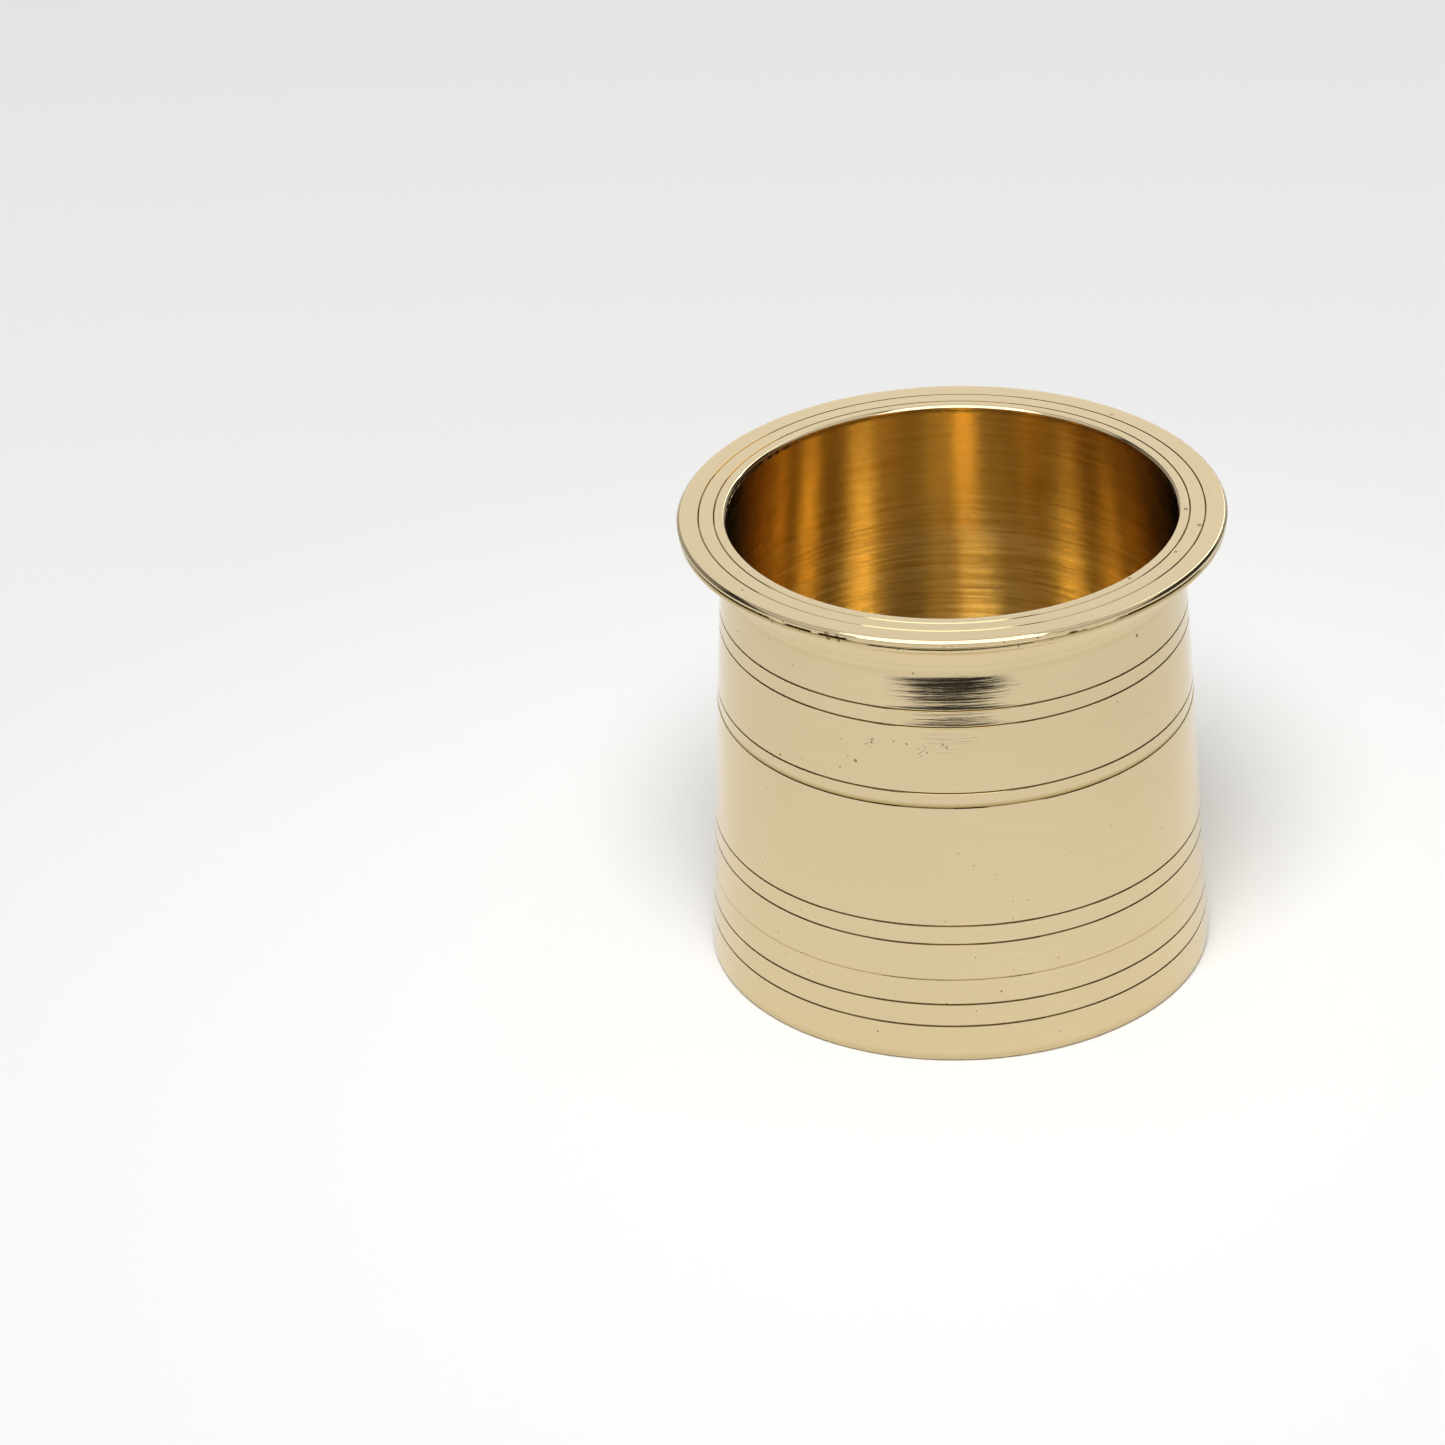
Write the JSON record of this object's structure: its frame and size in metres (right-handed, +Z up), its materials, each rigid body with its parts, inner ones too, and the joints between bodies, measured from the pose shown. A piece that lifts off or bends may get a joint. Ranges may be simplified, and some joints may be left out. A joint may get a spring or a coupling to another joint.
{
  "type": "ritual water pot",
  "caption": "Straight-sided turned brass water pot with a flat grooved rim flange, engraved lines round the wall and a recessed base.",
  "frame": {"origin": "centre of the ring that the pot stands on, at table level", "axes": "+Z up along the pot's turning axis; the pot is round, so +X and +Y are any two level directions at right angles"},
  "size_m": [0.08, 0.08, 0.0714],
  "materials": {
    "wall_brass": "lathe-turned and buffed, mirror bright outside, fine turning rings inside",
    "rim_brass": "buffed bright, two engraved rings with darkened bottoms",
    "base_brass": "turned, less polished than the wall",
    "rim_filler": "brazing filler, darkened and slightly pitted",
    "base_filler": "brazing filler, dull and darkened"
  },
  "bodies": {
    "root": {"pot_wall": "wall_brass", "rim_ring": "rim_brass", "base_disc": "base_brass", "rim_braze": "rim_filler", "base_braze": "base_filler"}
  },
  "joints": []
}
